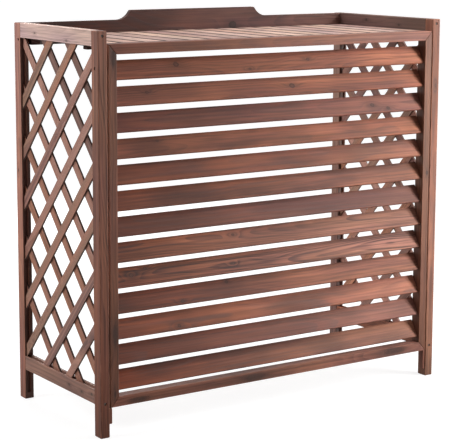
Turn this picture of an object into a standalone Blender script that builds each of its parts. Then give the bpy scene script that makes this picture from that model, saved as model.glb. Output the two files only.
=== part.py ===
"""Wooden screen that stands over an outdoor air conditioner unit.

Four posts carry two lattice sides, a louvered front panel and a slatted shelf, with a back
board that rises in the middle. Metres, +Z up. The front faces -Y, and the origin is on the
floor under the middle of the screen, so left is -X.
"""

import math

import bmesh
import bpy
from mathutils import Vector

# Whole screen
SCREEN_WIDTH = 0.930
SCREEN_DEPTH = 0.384
POST_HEIGHT = 0.870

# Fits and edges
SEAT_GAP = 0.0003
CUT_OVERRUN = 0.004
EDGE_ROUND = 0.0012
ROUND_STEPS = 2
ROUND_FROM_ANGLE = math.radians(30)

# Posts
POST_WIDTH = 0.022
POST_DEPTH = 0.028
POST_ROUND = 0.0018

# Side panels: two rails and two crossed layers of strips in grooves
SIDE_RAIL_HEIGHT = 0.0325
SIDE_RAIL_SETBACK = 0.0005
SIDE_RAIL_THICKNESS = 0.021
LOWER_RAIL_RISE = 0.0705
STRIP_WIDTH = 0.0205
STRIP_THICKNESS = 0.0045
STRIP_BOND = 0.0002
STRIP_SHORTEST = 0.080
STRIP_END_STAGGER = 0.0006
LATTICE_PITCH_ACROSS = 0.107
LATTICE_PITCH_UP = 0.1154
LATTICE_FIRST_ACROSS = 0.1038
LATTICE_FIRST_UP = 0.0229
GROOVE_SETBACK = 0.0045
GROOVE_DEPTH = 0.005
GROOVE_FOOT_RISE = 0.015
GROOVE_HEAD_SPARE = 0.002

# Front panel: a mitred frame with fixed louvers. It stands nearer to the right post
PANEL_SETBACK = 0.002
PANEL_GAPS = {"left": 0.0045, "right": 0.0003}
PANEL_RISE = 0.0645
PANEL_DROP = 0.028
STILE_FACE = 0.020
RAIL_FACE = 0.022
FRAME_DEPTH = 0.028
LOUVER_COUNT = 13
LOUVER_WIDTH = 0.0444
LOUVER_THICKNESS = 0.008
LOUVER_TILT = math.radians(58.8)
LOUVER_SETBACK = 0.0055
LOUVER_TOP_DROP = 0.0515
LOUVER_LAST_RISE = 0.0145

# Blocks on the front posts, under the panel
CLEAT_THICKNESS = 0.007
CLEAT_DEPTH = 0.0155
CLEAT_HEIGHTS = {"left": 0.035, "right": 0.046}

# Shelf
SLAT_COUNT = 16
SLAT_THICKNESS = 0.009
SLAT_SPACE = 0.007
BATTEN_WIDTH = 0.018
BATTEN_THICKNESS = 0.007
BATTEN_INSET = 0.055
LEDGER_WIDTH = 0.015
LEDGER_HEIGHT = 0.012

# Back board, whose raised middle ends in an S-curve at each side
BOARD_THICKNESS = 0.013
BOARD_SETBACK = 0.001
BOARD_HEIGHT = 0.049
BOARD_RISE = 0.022
BOARD_RAISED_HALF = 0.172
COVE_RADIUS = 0.040
CREST_RADIUS = 0.006
CURVE_STEPS = 8

# Screws in counterbored holes
SCREW_HEAD_RADIUS = 0.0029
SCREW_HEAD_HEIGHT = 0.0022
SCREW_SHANK_RADIUS = 0.0016
SCREW_TIP = 0.003
LONG_SCREW = 0.040
SHORT_SCREW = 0.032
COUNTERBORE_DEPTH = 0.0052
HOLE_CLEARANCE = 0.0003
HOLE_SPARE = 0.002
HOLE_SIDES = 14
TOP_SCREW_DROP = 0.0105
LOWER_SCREW_RISE = 0.0055
PANEL_SCREW_SETBACK = 0.014
PANEL_SCREW_DROP = 0.0785
BOARD_SCREW_RISE = 0.012

# Stained wood, as red, green and blue shares
TONES = {
    "reddish": (0.235, 0.102, 0.074),
    "brown": (0.190, 0.088, 0.066),
    "plum": (0.150, 0.077, 0.063),
    "orange": (0.285, 0.122, 0.078),
    "rosy": (0.330, 0.185, 0.150),
    "pale": (0.470, 0.345, 0.290),
    "deep": (0.100, 0.048, 0.038),
}
WOOD_ROUGHNESS = 0.62
SCREW_COLOUR = (0.20, 0.18, 0.16)
SCREW_ROUGHNESS = 0.35
LOUVER_TONES = (
    "brown", "brown", "plum", "reddish", "brown", "plum", "plum",
    "orange", "reddish", "brown", "orange", "plum", "brown",
)
SLAT_TONES = ("pale", "rosy", "pale", "pale", "rosy")

FRONT = -SCREEN_DEPTH / 2
REAR = SCREEN_DEPTH / 2
SIDES = (("left", -1), ("right", 1))

PANEL_TOP = POST_HEIGHT - PANEL_DROP
PANEL_FRONT = FRONT + PANEL_SETBACK
PANEL_BACK = PANEL_FRONT + FRAME_DEPTH
PANEL_LEFT = POST_WIDTH + PANEL_GAPS["left"] - SCREEN_WIDTH / 2
PANEL_RIGHT = SCREEN_WIDTH / 2 - POST_WIDTH - PANEL_GAPS["right"]
SHELF_HALF = SCREEN_WIDTH / 2 - POST_WIDTH - SEAT_GAP
BOARD_FRONT = REAR - POST_DEPTH + BOARD_SETBACK
BOARD_BOTTOM = POST_HEIGHT - BOARD_HEIGHT
SLAT_BOTTOM = PANEL_TOP - SLAT_THICKNESS
SLAT_FRONT = PANEL_BACK + SEAT_GAP
SLAT_REAR = BOARD_FRONT - SEAT_GAP
LATTICE_THICKNESS = 2 * STRIP_THICKNESS - STRIP_BOND
GROOVE_WIDTH = LATTICE_THICKNESS + 2 * SEAT_GAP
LOWER_RAIL_TOP = LOWER_RAIL_RISE + SIDE_RAIL_HEIGHT
UPPER_RAIL_BOTTOM = POST_HEIGHT - SIDE_RAIL_HEIGHT


def inward(sign, distance):
    """X of a point this far in from the outer face of one side."""
    return sign * (SCREEN_WIDTH / 2 - distance)


def clear_scene():
    for old in list(bpy.data.objects):
        bpy.data.objects.remove(old, do_unlink=True)


def material(name, colour, roughness, metallic=0.0):
    made = bpy.data.materials.new(name)
    made.use_nodes = True
    shader = made.node_tree.nodes["Principled BSDF"]
    shader.inputs["Base Color"].default_value = (*colour, 1.0)
    shader.inputs["Roughness"].default_value = roughness
    shader.inputs["Metallic"].default_value = metallic
    return made


def assembly(name, location, parent=None):
    """An empty that carries the pieces of one sub-assembly."""
    empty = bpy.data.objects.new(name, None)
    bpy.context.scene.collection.objects.link(empty)
    empty.parent = parent
    empty.location = Vector(location) - (parent.location if parent else Vector())
    return empty


def solid(name, mesh_maker, location, parent=None):
    """An object whose mesh is filled by mesh_maker, placed at a point of the whole screen."""
    mesh = bpy.data.meshes.new(name)
    shape = bmesh.new()
    mesh_maker(shape)
    bmesh.ops.recalc_face_normals(shape, faces=shape.faces)
    shape.to_mesh(mesh)
    shape.free()
    piece = bpy.data.objects.new(name, mesh)
    bpy.context.scene.collection.objects.link(piece)
    piece.location = Vector(location)
    if parent:
        piece.parent = parent
        piece.location -= parent.matrix_world.translation
    return piece


def stain(piece, tone):
    piece.data.materials.append(material(piece.name + "_wood", TONES[tone], WOOD_ROUGHNESS))


def soften(piece, width):
    """Rounds the long edges of a sawn piece."""
    bevel = piece.modifiers.new("softened edges", "BEVEL")
    bevel.width = width
    bevel.segments = ROUND_STEPS
    bevel.limit_method = "ANGLE"
    bevel.angle_limit = ROUND_FROM_ANGLE


def combine(piece, other, operation):
    other.hide_render = True
    other.display_type = "WIRE"
    boolean = piece.modifiers.new(other.name, "BOOLEAN")
    boolean.operation = operation
    boolean.solver = "EXACT"
    boolean.object = other


def box_maker(size):
    def make(shape):
        bmesh.ops.create_cube(shape, size=1)
        bmesh.ops.scale(shape, vec=size, verts=shape.verts)

    return make


def block(name, corner, opposite, tone, parent=None, edge=EDGE_ROUND):
    """A sawn block between two opposite corners."""
    first, second = Vector(corner), Vector(opposite)
    size = [abs(a - b) for a, b in zip(first, second)]
    piece = solid(name, box_maker(size), (first + second) / 2, parent)
    stain(piece, tone)
    soften(piece, edge)
    return piece


def cutter_box(name, corner, opposite):
    first, second = Vector(corner), Vector(opposite)
    size = [abs(a - b) for a, b in zip(first, second)]
    return solid(name, box_maker(size), (first + second) / 2)


def prism_maker(outlines, depth):
    """Flat outlines in Y and Z, each drawn out along X by depth."""

    def make(shape):
        for outline in outlines:
            base = shape.faces.new([shape.verts.new((0, y, z)) for y, z in outline])
            grown = bmesh.ops.extrude_face_region(shape, geom=[base])
            moved = [v for v in grown["geom"] if isinstance(v, bmesh.types.BMVert)]
            bmesh.ops.translate(shape, vec=(depth, 0, 0), verts=moved)

    return make


def sheet_maker(outline, depth):
    """A flat outline in X and Z, drawn out along Y by depth."""

    def make(shape):
        base = shape.faces.new([shape.verts.new((x, 0, z)) for x, z in outline])
        grown = bmesh.ops.extrude_face_region(shape, geom=[base])
        moved = [v for v in grown["geom"] if isinstance(v, bmesh.types.BMVert)]
        bmesh.ops.translate(shape, vec=(0, depth, 0), verts=moved)

    return make


def turned(name, profile, location, direction, parent=None):
    """A profile of radii and heights, spun round its own axis and laid along direction."""

    def make(shape):
        points = [shape.verts.new((radius, 0, height)) for radius, height in profile]
        edges = [shape.edges.new(pair) for pair in zip(points, points[1:])]
        bmesh.ops.spin(
            shape, geom=points + edges, cent=(0, 0, 0), axis=(0, 0, 1),
            angle=math.tau, steps=HOLE_SIDES, use_merge=True,
        )
        bmesh.ops.remove_doubles(shape, verts=shape.verts, dist=SEAT_GAP / 100)

    piece = solid(name, make, location, parent)
    piece.rotation_euler = Vector(direction).to_track_quat("Z", "Y").to_euler()
    return piece


# Screws and the holes they sit in


def screw(name, mouth, direction, length, parent):
    """A screw whose head rests on the floor of the counterbore that starts at mouth."""
    seat = COUNTERBORE_DEPTH - SEAT_GAP - SCREW_HEAD_HEIGHT
    profile = [
        (0, 0),
        (SCREW_HEAD_RADIUS, 0),
        (SCREW_HEAD_RADIUS, SCREW_HEAD_HEIGHT),
        (SCREW_SHANK_RADIUS, SCREW_HEAD_HEIGHT),
        (SCREW_SHANK_RADIUS, SCREW_HEAD_HEIGHT + length - SCREW_TIP),
        (0, SCREW_HEAD_HEIGHT + length),
    ]
    piece = turned(name, profile, Vector(mouth) + seat * Vector(direction), direction, parent)
    steel = material(name + "_steel", SCREW_COLOUR, SCREW_ROUGHNESS, 1.0)
    piece.data.materials.append(steel)
    piece.data.shade_smooth()
    piece.data.set_sharp_from_angle(angle=ROUND_FROM_ANGLE)
    return piece


def bore_for_screw(piece, name, mouth, direction, wall):
    """A counterbore and a clearance hole right through a wall."""
    wide = SCREW_HEAD_RADIUS + HOLE_CLEARANCE
    narrow = SCREW_SHANK_RADIUS + HOLE_CLEARANCE
    profile = [
        (0, -CUT_OVERRUN),
        (wide, -CUT_OVERRUN),
        (wide, COUNTERBORE_DEPTH),
        (narrow, COUNTERBORE_DEPTH),
        (narrow, wall + CUT_OVERRUN),
        (0, wall + CUT_OVERRUN),
    ]
    combine(piece, turned(name + "_bore", profile, mouth, direction), "DIFFERENCE")


def pilot_for_screw(piece, name, mouth, direction, depth):
    """A blind hole that takes the screw's end."""
    radius = SCREW_SHANK_RADIUS + HOLE_CLEARANCE
    profile = [(0, -CUT_OVERRUN), (radius, -CUT_OVERRUN), (radius, depth), (0, depth)]
    combine(piece, turned(name + "_pilot", profile, mouth, direction), "DIFFERENCE")


# Posts


def post(name, sign, front, parent, tone):
    y_low = FRONT if front else REAR - POST_DEPTH
    y_high = y_low + POST_DEPTH
    piece = block(
        name, (inward(sign, 0), y_low, 0), (inward(sign, POST_WIDTH), y_high, POST_HEIGHT),
        tone, parent, POST_ROUND,
    )
    inner_face = y_high if front else y_low
    outwards = 1 if front else -1
    groove = cutter_box(
        name + "_groove",
        (inward(sign, GROOVE_SETBACK), inner_face - outwards * GROOVE_DEPTH, GROOVE_FOOT_RISE),
        (
            inward(sign, GROOVE_SETBACK + GROOVE_WIDTH),
            inner_face + outwards * CUT_OVERRUN,
            UPPER_RAIL_BOTTOM + GROOVE_DEPTH + GROOVE_HEAD_SPARE,
        ),
    )
    combine(piece, groove, "DIFFERENCE")
    return piece


def rail_screw_mouth(sign, face, height):
    """Where a screw enters the front or rear face of a post, in line with a side rail."""
    return inward(sign, POST_WIDTH / 2), face, height


def build_posts(parent):
    for side, sign in SIDES:
        front_post = post(f"front_{side}_post", sign, True, parent, "brown" if sign < 0 else "rosy")
        rear_post = post(f"rear_{side}_post", sign, False, parent, "rosy" if sign < 0 else "brown")
        heights = {
            "top": POST_HEIGHT - TOP_SCREW_DROP,
            "lower": LOWER_RAIL_RISE + LOWER_SCREW_RISE,
        }
        for level, height in heights.items():
            name = f"front_{side}_{level}_screw"
            mouth = rail_screw_mouth(sign, FRONT, height)
            bore_for_screw(front_post, name, mouth, (0, 1, 0), POST_DEPTH)
            screw(name, mouth, (0, 1, 0), LONG_SCREW, parent)
            mouth = rail_screw_mouth(sign, REAR, height)
            bore_for_screw(rear_post, f"rear_{side}_{level}", mouth, (0, -1, 0), POST_DEPTH)
        inwards = (-sign, 0, 0)
        mouth = panel_screw_mouth(sign)
        bore_for_screw(front_post, f"{side}_panel_screw", mouth, inwards, POST_WIDTH)
        screw(f"{side}_panel_screw", mouth, inwards, SHORT_SCREW, parent)
        mouth = board_screw_mouth(sign)
        bore_for_screw(rear_post, f"{side}_board_screw", mouth, inwards, POST_WIDTH)
        screw(f"{side}_board_screw", mouth, inwards, SHORT_SCREW, parent)


def panel_screw_mouth(sign):
    return inward(sign, 0), FRONT + PANEL_SCREW_SETBACK, POST_HEIGHT - PANEL_SCREW_DROP


def board_screw_mouth(sign):
    return inward(sign, 0), BOARD_FRONT + BOARD_THICKNESS / 2, BOARD_BOTTOM + BOARD_SCREW_RISE


# Side panels


def side_rail(name, sign, low, groove_low, screw_height, parent, tone):
    """A rail between a front and a rear post, grooved along the edge that holds the strips."""
    y_low = FRONT + POST_DEPTH + SEAT_GAP
    piece = block(
        name,
        (inward(sign, SIDE_RAIL_SETBACK), y_low, low),
        (inward(sign, SIDE_RAIL_SETBACK + SIDE_RAIL_THICKNESS), -y_low, low + SIDE_RAIL_HEIGHT),
        tone, parent,
    )
    groove = cutter_box(
        name + "_groove",
        (inward(sign, GROOVE_SETBACK), y_low - CUT_OVERRUN, groove_low),
        (
            inward(sign, GROOVE_SETBACK + GROOVE_WIDTH),
            CUT_OVERRUN - y_low,
            groove_low + GROOVE_DEPTH + CUT_OVERRUN,
        ),
    )
    combine(piece, groove, "DIFFERENCE")
    bite = LONG_SCREW - (POST_DEPTH - COUNTERBORE_DEPTH) + HOLE_SPARE
    for end, face, inwards in (("front", y_low, 1), ("rear", -y_low, -1)):
        mouth = rail_screw_mouth(sign, face, screw_height)
        pilot_for_screw(piece, f"{name}_{end}", mouth, (0, inwards, 0), bite)
    return piece


def clipped(outline, axis, limit, keep_above):
    """The part of an outline on one side of a line that crosses the given axis."""
    kept = []
    for here, there in zip(outline, outline[1:] + outline[:1]):
        inside_here = (here[axis] >= limit) == keep_above
        inside_there = (there[axis] >= limit) == keep_above
        if inside_here:
            kept.append(here)
        if inside_here != inside_there:
            share = (limit - here[axis]) / (there[axis] - here[axis])
            kept.append(tuple(a + share * (b - a) for a, b in zip(here, there)))
    return kept


def strip_outlines(low, high, crossing, rising):
    """Slanted strips that fill a rectangle in Y and Z, one through every crossing."""
    slant = math.atan2(LATTICE_PITCH_UP, LATTICE_PITCH_ACROSS)
    along = Vector((math.cos(slant), math.sin(slant) if rising else -math.sin(slant)))
    side = Vector((-along.y, along.x)) * STRIP_WIDTH / 2
    span = high - low
    reach = along * (span.y / math.sin(slant) + STRIP_WIDTH)
    steps = math.ceil(span.x / LATTICE_PITCH_ACROSS + span.y / LATTICE_PITCH_UP) + 1
    outlines = []
    for step in range(-steps, steps + 1):
        middle = crossing + Vector((step * LATTICE_PITCH_ACROSS, 0))
        corners = (-reach - side, reach - side, reach + side, -reach + side)
        outline = [tuple(middle + corner) for corner in corners]
        for axis, limit, keep_above in (
            (0, low.x, True), (0, high.x, False), (1, low.y, True), (1, high.y, False),
        ):
            outline = clipped(outline, axis, limit, keep_above)
        if len(outline) > 2:
            reaches = [Vector(point).dot(along) for point in outline]
            if max(reaches) - min(reaches) > STRIP_SHORTEST + STRIP_WIDTH:
                outlines.append(outline)
    return outlines


def lattice(name, sign, parent, tone):
    """Two crossed layers of strips, joined where they cross.

    On the left the outer layer falls to the rear. The right lattice is the same one, turned round.
    """
    into_groove = Vector((1, 1)) * (GROOVE_DEPTH - SEAT_GAP)
    opening_low = Vector((FRONT + POST_DEPTH, LOWER_RAIL_TOP))
    opening_high = Vector((REAR - POST_DEPTH, UPPER_RAIL_BOTTOM))
    crossing = opening_low + Vector((LATTICE_FIRST_ACROSS, LATTICE_FIRST_UP))
    layers = []
    for layer, rising in enumerate((False, True)):
        trim = Vector((1, 1)) * STRIP_END_STAGGER * layer
        outlines = strip_outlines(
            opening_low - into_groove + trim, opening_high + into_groove - trim, crossing, rising
        )
        depth = GROOVE_SETBACK + SEAT_GAP + layer * (STRIP_THICKNESS - STRIP_BOND)
        layer_name = name if layer == 0 else name + "_inner_layer"
        maker = prism_maker(outlines, STRIP_THICKNESS)
        made = solid(layer_name, maker, (inward(sign, depth), 0, 0), parent)
        made.rotation_euler.z = 0 if sign < 0 else math.pi
        layers.append(made)
    outer, inner = layers
    stain(outer, tone)
    combine(outer, inner, "UNION")
    return outer


def build_side_panels(parent):
    for side, sign in SIDES:
        top_tone = "pale" if sign < 0 else "brown"
        side_rail(
            f"{side}_top_rail", sign, UPPER_RAIL_BOTTOM, UPPER_RAIL_BOTTOM - CUT_OVERRUN,
            POST_HEIGHT - TOP_SCREW_DROP, parent, top_tone,
        )
        side_rail(
            f"{side}_bottom_rail", sign, LOWER_RAIL_RISE, LOWER_RAIL_TOP - GROOVE_DEPTH,
            LOWER_RAIL_RISE + LOWER_SCREW_RISE, parent, "rosy",
        )
        lattice(f"{side}_lattice", sign, parent, "reddish")


# Front panel


def frame_member(name, outline, parent, tone):
    piece = solid(name, sheet_maker(outline, FRAME_DEPTH), (0, PANEL_FRONT, 0), parent)
    stain(piece, tone)
    soften(piece, EDGE_ROUND)
    return piece


def build_panel_frame(parent):
    """Stiles and rails cut from corner to corner, with a hair of room along each mitre."""
    mitre_gap = SEAT_GAP * math.hypot(STILE_FACE, RAIL_FACE) / STILE_FACE
    for side, sign in SIDES:
        outer = PANEL_LEFT if sign < 0 else PANEL_RIGHT
        inner = outer - sign * STILE_FACE
        outline = [
            (outer, PANEL_RISE + mitre_gap),
            (inner, PANEL_RISE + RAIL_FACE + mitre_gap),
            (inner, PANEL_TOP - RAIL_FACE - mitre_gap),
            (outer, PANEL_TOP - mitre_gap),
        ]
        stile = frame_member(f"panel_{side}_stile", outline, parent, "brown" if sign < 0 else "rosy")
        _, screw_y, screw_z = panel_screw_mouth(sign)
        bite = SHORT_SCREW - (POST_WIDTH - COUNTERBORE_DEPTH) - PANEL_GAPS[side] + HOLE_SPARE
        pilot_for_screw(
            stile, f"{side}_stile", (outer, screw_y, screw_z), (-sign, 0, 0), bite
        )
    levels = (
        ("panel_top_rail", PANEL_TOP, PANEL_TOP - RAIL_FACE),
        ("panel_bottom_rail", PANEL_RISE, PANEL_RISE + RAIL_FACE),
    )
    for name, outer_z, inner_z in levels:
        outline = [
            (PANEL_LEFT, outer_z),
            (PANEL_RIGHT, outer_z),
            (PANEL_RIGHT - STILE_FACE, inner_z),
            (PANEL_LEFT + STILE_FACE, inner_z),
        ]
        frame_member(name, outline, parent, "reddish")


def build_louvers(parent):
    """Louvers slope down to the front. The first hangs below the top rail."""
    opening_top = PANEL_TOP - RAIL_FACE
    opening_bottom = PANEL_RISE + RAIL_FACE
    length = PANEL_RIGHT - PANEL_LEFT - 2 * (STILE_FACE + SEAT_GAP)
    middle = (PANEL_LEFT + PANEL_RIGHT) / 2
    first = opening_top - LOUVER_TOP_DROP
    last = opening_bottom + LOUVER_LAST_RISE
    pitch = (first - last) / (LOUVER_COUNT - 1)
    up_slope = Vector((0, math.cos(LOUVER_TILT), math.sin(LOUVER_TILT)))
    through = Vector((0, math.sin(LOUVER_TILT), -math.cos(LOUVER_TILT)))
    for index in range(LOUVER_COUNT):
        lower_corner = Vector((middle, PANEL_FRONT + LOUVER_SETBACK, first - index * pitch))
        centre = lower_corner + up_slope * LOUVER_WIDTH / 2 + through * LOUVER_THICKNESS / 2
        size = (length, LOUVER_THICKNESS, LOUVER_WIDTH)
        piece = solid(f"louver_{index + 1:02d}", box_maker(size), centre, parent)
        piece.rotation_euler.x = LOUVER_TILT - math.pi / 2
        stain(piece, LOUVER_TONES[index % len(LOUVER_TONES)])
        soften(piece, EDGE_ROUND)


def build_cleats(parent):
    for side, sign in SIDES:
        near = POST_WIDTH + SEAT_GAP
        top = PANEL_RISE - SEAT_GAP
        block(
            f"{side}_panel_cleat",
            (inward(sign, near), PANEL_FRONT, top - CLEAT_HEIGHTS[side]),
            (inward(sign, near + CLEAT_THICKNESS), PANEL_FRONT + CLEAT_DEPTH, top),
            "brown", parent,
        )


# Shelf


def build_slats(parent):
    width = (2 * SHELF_HALF - (SLAT_COUNT - 1) * SLAT_SPACE) / SLAT_COUNT
    for index in range(SLAT_COUNT):
        x_low = -SHELF_HALF + index * (width + SLAT_SPACE)
        block(
            f"shelf_slat_{index + 1:02d}",
            (x_low, SLAT_FRONT, SLAT_BOTTOM), (x_low + width, SLAT_REAR, PANEL_TOP),
            SLAT_TONES[index % len(SLAT_TONES)], parent,
        )


def build_bearers(parent):
    """Battens that tie the slats together, and ledgers that carry their ends."""
    top = SLAT_BOTTOM - SEAT_GAP
    bearers = (
        ("front_shelf_batten", SLAT_FRONT + BATTEN_INSET, BATTEN_WIDTH, BATTEN_THICKNESS),
        (
            "rear_shelf_batten", SLAT_REAR - BATTEN_INSET - BATTEN_WIDTH, BATTEN_WIDTH,
            BATTEN_THICKNESS,
        ),
        ("front_shelf_ledger", SLAT_FRONT, LEDGER_WIDTH, LEDGER_HEIGHT),
        ("rear_shelf_ledger", SLAT_REAR - LEDGER_WIDTH, LEDGER_WIDTH, LEDGER_HEIGHT),
    )
    for name, y_low, width, height in bearers:
        block(
            name, (-SHELF_HALF, y_low, top - height), (SHELF_HALF, y_low + width, top),
            "brown", parent,
        )


def board_outline():
    """Half of the board's top edge as an S-curve, a cove that runs into a crest, and its mirror."""
    both = COVE_RADIUS + CREST_RADIUS
    sweep = math.acos(1 - BOARD_RISE / both)
    foot = BOARD_RAISED_HALF + both * math.sin(sweep)
    angles = [sweep * step / CURVE_STEPS for step in range(CURVE_STEPS + 1)]
    cove = [
        (foot - COVE_RADIUS * math.sin(a), POST_HEIGHT + COVE_RADIUS * (1 - math.cos(a)))
        for a in angles
    ]
    crest_top = POST_HEIGHT + BOARD_RISE
    crest = [
        (BOARD_RAISED_HALF + CREST_RADIUS * math.sin(a), crest_top - CREST_RADIUS * (1 - math.cos(a)))
        for a in reversed(angles)
    ]
    right = [(SHELF_HALF, BOARD_BOTTOM), (SHELF_HALF, POST_HEIGHT)] + cove + crest[1:]
    left = [(-x, z) for x, z in reversed(right)]
    return right + left


def build_back_board(parent):
    maker = sheet_maker(board_outline(), BOARD_THICKNESS)
    piece = solid("back_board", maker, (0, BOARD_FRONT, 0), parent)
    stain(piece, "deep")
    soften(piece, EDGE_ROUND)
    bite = SHORT_SCREW - (POST_WIDTH - COUNTERBORE_DEPTH) + HOLE_SPARE
    for side, sign in SIDES:
        _, screw_y, screw_z = board_screw_mouth(sign)
        mouth = (sign * SHELF_HALF, screw_y, screw_z)
        pilot_for_screw(piece, f"{side}_board_end", mouth, (-sign, 0, 0), bite)


def build_screen():
    clear_scene()
    screen = assembly("screen", (0, 0, 0))
    build_posts(screen)
    build_side_panels(screen)
    panel = assembly("front_panel", (0, PANEL_FRONT, PANEL_RISE), screen)
    shelf = assembly("shelf", (0, 0, PANEL_TOP), screen)
    bpy.context.view_layer.update()
    build_panel_frame(panel)
    build_louvers(panel)
    build_cleats(screen)
    build_slats(shelf)
    build_bearers(shelf)
    build_back_board(shelf)


build_screen()
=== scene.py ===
"""Looks of the air conditioner screen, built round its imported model.

Every board gets stained softwood with rings, knots and worn edges. The lattices are rebuilt as
separate strips with staples, and the screws get threads and cross recesses. Metres, +Z up, the
front faces -Y.
"""

import math
import random

import bmesh
import bpy
from mathutils import Euler, Matrix, Vector


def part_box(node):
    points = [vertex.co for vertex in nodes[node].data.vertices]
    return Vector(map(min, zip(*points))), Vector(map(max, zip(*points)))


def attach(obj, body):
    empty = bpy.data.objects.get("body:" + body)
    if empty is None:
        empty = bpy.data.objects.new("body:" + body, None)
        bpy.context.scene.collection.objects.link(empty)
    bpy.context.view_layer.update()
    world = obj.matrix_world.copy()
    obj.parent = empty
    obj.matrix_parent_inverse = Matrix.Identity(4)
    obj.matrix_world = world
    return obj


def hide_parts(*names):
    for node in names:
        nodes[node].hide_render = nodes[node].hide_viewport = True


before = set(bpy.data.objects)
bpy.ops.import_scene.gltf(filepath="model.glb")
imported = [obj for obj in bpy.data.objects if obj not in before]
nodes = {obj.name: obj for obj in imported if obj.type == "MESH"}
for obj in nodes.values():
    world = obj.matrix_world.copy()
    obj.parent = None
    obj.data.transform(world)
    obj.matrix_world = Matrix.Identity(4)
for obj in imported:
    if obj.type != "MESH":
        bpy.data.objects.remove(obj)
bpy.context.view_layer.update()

# Camera, at the photograph's angle
IMAGE_WIDTH = 449
FOCAL_PIXELS = 1580.6
SENSOR = 36.0
CAMERA_PLACE = (-2.05727, -3.03734, 1.06445)
CAMERA_DOWN = 0.1545
CAMERA_TURN = -0.5856
CAMERA_ROLL = 0.0026
CAMERA_SHIFT = (0.01704, -0.08659)
CAMERA_REACH = 100.0

# Sizes repeated from the solids
HALF_WIDTH = 0.465
HALF_DEPTH = 0.192
POST_HEIGHT = 0.870
POST_DEPTH = 0.028
SIDE_RAIL_HEIGHT = 0.0325
LOWER_RAIL_TOP = 0.103
SEAT_GAP = 0.0003
STRIP_WIDTH = 0.0205
STRIP_THICKNESS = 0.0045
STRIP_BOND = 0.0002
STRIP_SHORTEST = 0.080
PITCH_ACROSS = 0.107
PITCH_UP = 0.1154
FIRST_ACROSS = 0.1038
FIRST_UP = 0.0229
GROOVE_SETBACK = 0.0045
GROOVE_DEPTH = 0.005
LOUVER_TILT = math.radians(58.8)
LOUVER_HALF_WIDTH = 0.0222
LOUVER_HALF_THICKNESS = 0.004
SLAT_COUNT = 16
SCREW_HEAD_RADIUS = 0.0029
SCREW_HEAD_HEIGHT = 0.0022
SCREW_HEAD_DEPTH = 0.0027
LONG_SCREW = 0.040
SHORT_SCREW = 0.032

SIDES = (("left", -1), ("right", 1))
AXES = {"X": Vector((1, 0, 0)), "Y": Vector((0, 1, 0)), "Z": Vector((0, 0, 1))}
WHITE = (1.0, 1.0, 1.0)


# Helpers


def srgb(red, green, blue):
    """A colour written in 0 to 255, as the linear shares that shaders take."""
    shares = [c / 255 for c in (red, green, blue)]
    return tuple(s / 12.92 if s <= 0.04045 else ((s + 0.055) / 1.055) ** 2.4 for s in shares)


def times(colour, factor):
    return tuple(c * factor for c in colour)


def mesh_from(name, shape):
    """Turns a mesh that was being built into a finished one."""
    mesh = bpy.data.meshes.new(name)
    shape.to_mesh(mesh)
    shape.free()
    return mesh


def new_object(name, data):
    made = bpy.data.objects.new(name, data)
    bpy.context.scene.collection.objects.link(made)
    return made


class Nodes:
    """Adds shader nodes to a tree and links or sets their sockets."""

    def __init__(self, tree):
        self.tree = tree

    def add(self, kind, **settings):
        node = self.tree.nodes.new(kind)
        for name, value in settings.items():
            setattr(node, name, value)
        return node

    def put(self, socket, value):
        if isinstance(value, bpy.types.NodeSocket):
            self.tree.links.new(value, socket)
        elif value is not None:
            if socket.type == "RGBA" and len(value) == 3:
                value = (*value, 1.0)
            socket.default_value = value

    def math(self, operation, first, second=None, third=None, clamp=False):
        node = self.add("ShaderNodeMath", operation=operation, use_clamp=clamp)
        for socket, value in zip(node.inputs, (first, second, third)):
            self.put(socket, value)
        return node.outputs[0]

    def vector(self, operation, first, second=None, scale=None):
        node = self.add("ShaderNodeVectorMath", operation=operation)
        self.put(node.inputs[0], first)
        self.put(node.inputs[1], second)
        if scale is not None:
            self.put(node.inputs["Scale"], scale)
        return node.outputs["Value" if operation in ("DOT_PRODUCT", "LENGTH") else "Vector"]

    def split(self, vector):
        """The three numbers of a vector."""
        node = self.add("ShaderNodeSeparateXYZ")
        self.put(node.inputs[0], vector)
        return node.outputs

    def length(self, first, second):
        """The length of a vector with these two parts."""
        squares = [self.math("POWER", part, 2.0) for part in (first, second)]
        return self.math("SQRT", self.math("ADD", *squares))

    def noise(self, vector, stretch, seed, detail=2.0, roughness=0.5, output="Fac"):
        node = self.add("ShaderNodeTexNoise", noise_dimensions="4D")
        self.put(node.inputs["Vector"], self.vector("MULTIPLY", vector, stretch))
        self.put(node.inputs["W"], seed)
        self.put(node.inputs["Scale"], 1.0)
        self.put(node.inputs["Detail"], detail)
        self.put(node.inputs["Roughness"], roughness)
        return node.outputs[output]

    def smooth(self, value, low, high, to_low=0.0, to_high=1.0):
        node = self.add("ShaderNodeMapRange", interpolation_type="SMOOTHSTEP")
        for socket, v in zip(node.inputs, (value, low, high, to_low, to_high)):
            self.put(socket, v)
        return node.outputs[0]

    def mix(self, factor, first, second, blend="MIX"):
        node = self.add("ShaderNodeMix", data_type="RGBA", blend_type=blend)
        self.put(node.inputs[0], factor)
        self.put(node.inputs[6], first)
        self.put(node.inputs[7], second)
        return node.outputs[2]

    def product(self, first, second):
        return self.mix(1.0, first, second, "MULTIPLY")

    def scaled(self, colour, factor):
        """A colour multiplied by a grey value."""
        grey = self.add("ShaderNodeCombineColor")
        for socket in grey.inputs:
            self.put(socket, factor)
        return self.product(colour, grey.outputs[0])

    def bump(self, height, strength, distance):
        node = self.add("ShaderNodeBump")
        self.put(node.inputs["Strength"], strength)
        self.put(node.inputs["Distance"], distance)
        self.put(node.inputs["Height"], height)
        return node.outputs[0]


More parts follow.
